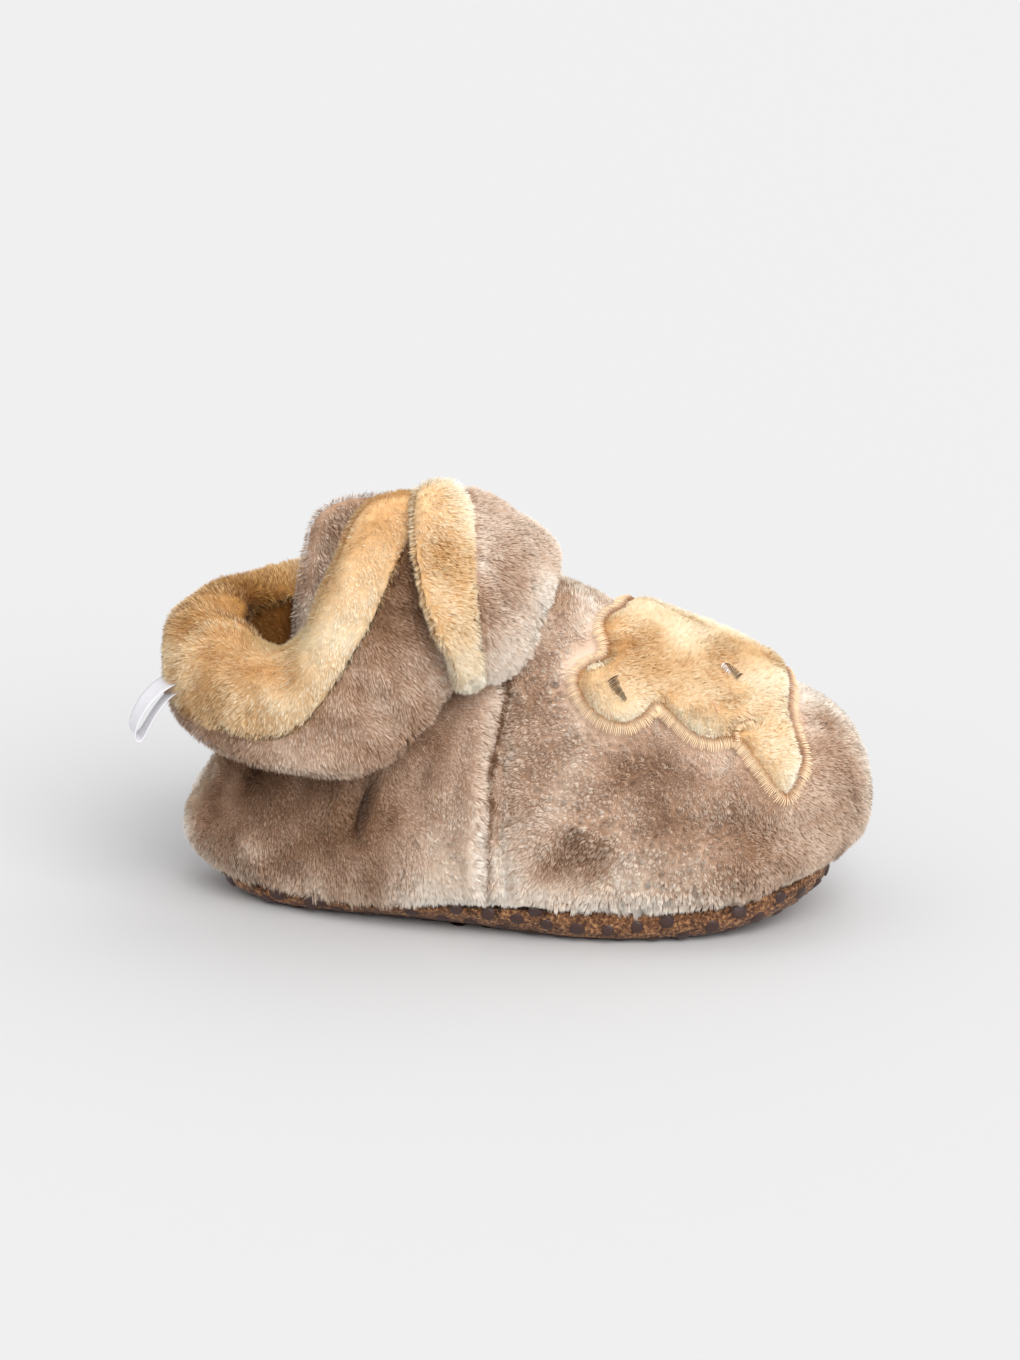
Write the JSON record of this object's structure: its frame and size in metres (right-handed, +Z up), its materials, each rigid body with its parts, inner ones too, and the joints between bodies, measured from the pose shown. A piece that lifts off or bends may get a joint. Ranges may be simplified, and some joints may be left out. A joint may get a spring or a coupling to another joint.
{
  "type": "plush bootie slipper",
  "caption": "Soft baby bootie with a plush upper, turned-down collar with a wrap-over front flap, an animal patch on the vamp and a thin cloth sole with grip dots",
  "frame": {"origin": "on the flat underside of the sole, at the middle of the foot's length, on the line through the heel", "axes": "+X towards the toe, +Y towards the foot's inner side, +Z up"},
  "size_m": [0.1355, 0.0661, 0.0808],
  "materials": {
    "taupe_plush": "short dense pile, soft and matt",
    "tan_plush": "short dense pile, soft and matt",
    "sole_suede": "brushed cloth with dark grip dots",
    "insole_pad": "napped cloth",
    "satin_ribbon": "satin weave"
  },
  "bodies": {
    "root": {"upper": "taupe_plush", "outsole": "sole_suede", "insole": "insole_pad", "cuff": "taupe_plush", "cuff_trim": "tan_plush", "front_flap": "taupe_plush", "flap_trim": "tan_plush", "tongue": "taupe_plush", "applique": "tan_plush", "pull_loop": "satin_ribbon"}
  },
  "joints": []
}
